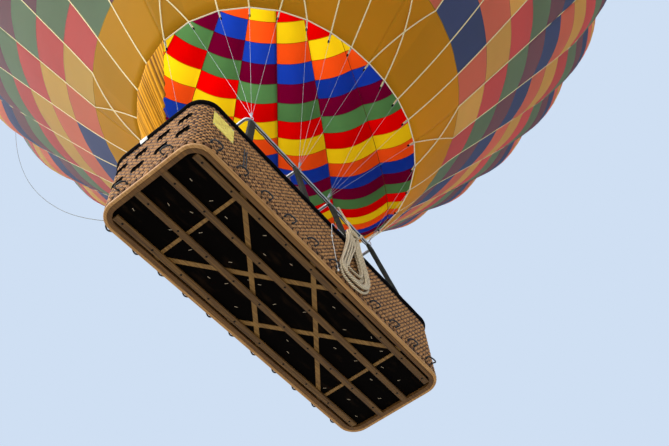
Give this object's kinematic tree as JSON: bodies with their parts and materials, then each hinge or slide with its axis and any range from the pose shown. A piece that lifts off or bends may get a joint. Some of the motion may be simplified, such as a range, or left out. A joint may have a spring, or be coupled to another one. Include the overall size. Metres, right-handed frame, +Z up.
{
  "type": "hot air balloon with a partitioned wicker ride basket",
  "caption": "Chequered hot air balloon with a gored envelope, scoop, flying wires, gimballed burner and a long wicker basket on runners.",
  "frame": {"origin": "centre of the basket's underside, at the bottom of the runners, on the mount air", "axes": "+Z up, +X along the basket, the wall with the placard faces -Y"},
  "size_m": [27.1846, 27.1846, 36.816],
  "materials": {
    "base_wood": "bent hardwood frame, oiled",
    "runner_wood": "dark oiled hardwood",
    "underfloor_webbing": "pale battens",
    "floor_ply": "dark coated ply",
    "wicker": "woven willow",
    "suede": "black suede over foam",
    "placard_plate": "blank yellow plate",
    "cylinder_steel": "stainless",
    "frame_steel": "brushed stainless tube",
    "burner_block_metal": "black",
    "burner_steel": "heat tinted stainless",
    "envelope_nylon": "ripstop nylon, chequered",
    "webbing": "pale load tape",
    "wire_steel": "stranded stainless wire",
    "rope": "braided rope"
  },
  "bodies": {
    "balloon": {"base_frame": "base_wood", "runner_1": "runner_wood", "runner_2": "runner_wood", "runner_3": "runner_wood", "runner_4": "runner_wood", "underfloor_straps": "underfloor_webbing", "floor_board": "floor_ply", "wicker_wall_front": "wicker", "wicker_wall_back": "wicker", "wicker_wall_left": "wicker", "wicker_wall_right": "wicker", "partition_across_1": "wicker", "partition_across_2": "wicker", "partition_along_1": "wicker", "partition_along_2": "wicker", "padded_rim": "suede", "upright_corner_1": "suede", "upright_corner_2": "suede", "upright_corner_3": "suede", "upright_corner_4": "suede", "upright_middle_1": "suede", "upright_middle_2": "suede", "upright_middle_3": "suede", "upright_middle_4": "suede", "placard": "placard_plate", "fuel_cylinder_1": "cylinder_steel", "fuel_cylinder_2": "cylinder_steel", "fuel_cylinder_3": "cylinder_steel", "fuel_cylinder_4": "cylinder_steel", "load_frame": "frame_steel", "envelope_sector_1": "envelope_nylon", "envelope_sector_2": "envelope_nylon", "envelope_sector_3": "envelope_nylon", "envelope_sector_4": "envelope_nylon", "envelope_sector_5": "envelope_nylon", "envelope_sector_6": "envelope_nylon", "envelope_sector_7": "envelope_nylon", "envelope_sector_8": "envelope_nylon", "scoop": "envelope_nylon", "mouth_hem": "webbing", "crown_straps": "webbing", "wire_fan_1": "wire_steel", "wire_fan_2": "wire_steel", "wire_fan_3": "wire_steel", "wire_fan_4": "wire_steel", "wire_fan_5": "wire_steel", "wire_fan_6": "wire_steel", "wire_fan_7": "wire_steel", "wire_fan_8": "wire_steel", "crown_line": "rope", "rope_tail": "rope", "rope_hank": "rope"},
    "vent_valve": {"vent_valve": "envelope_nylon"},
    "gimbal": {"gimbal_ring": "frame_steel"},
    "burner": {"burner_block": "burner_block_metal", "burner_can_1": "burner_steel", "burner_can_2": "burner_steel", "burner_can_3": "burner_steel", "burner_can_4": "burner_steel"}
  },
  "joints": [
    {"name": "vent_pull", "type": "slide", "parent": "balloon", "child": "vent_valve", "axis": [0, 0, -1], "range_m": [0, 1.5], "stiffness_N_per_m": 400, "springref_m": -1.5},
    {"name": "gimbal_roll", "type": "hinge", "parent": "balloon", "child": "gimbal", "pos_m": [0, 0, 2.5], "axis": [1, 0, 0], "range_deg": [-15, 15]},
    {"name": "burner_pitch", "type": "hinge", "parent": "gimbal", "child": "burner", "pos_m": [0, 0, 2.5], "axis": [0, 1, 0], "range_deg": [-15, 15]}
  ]
}
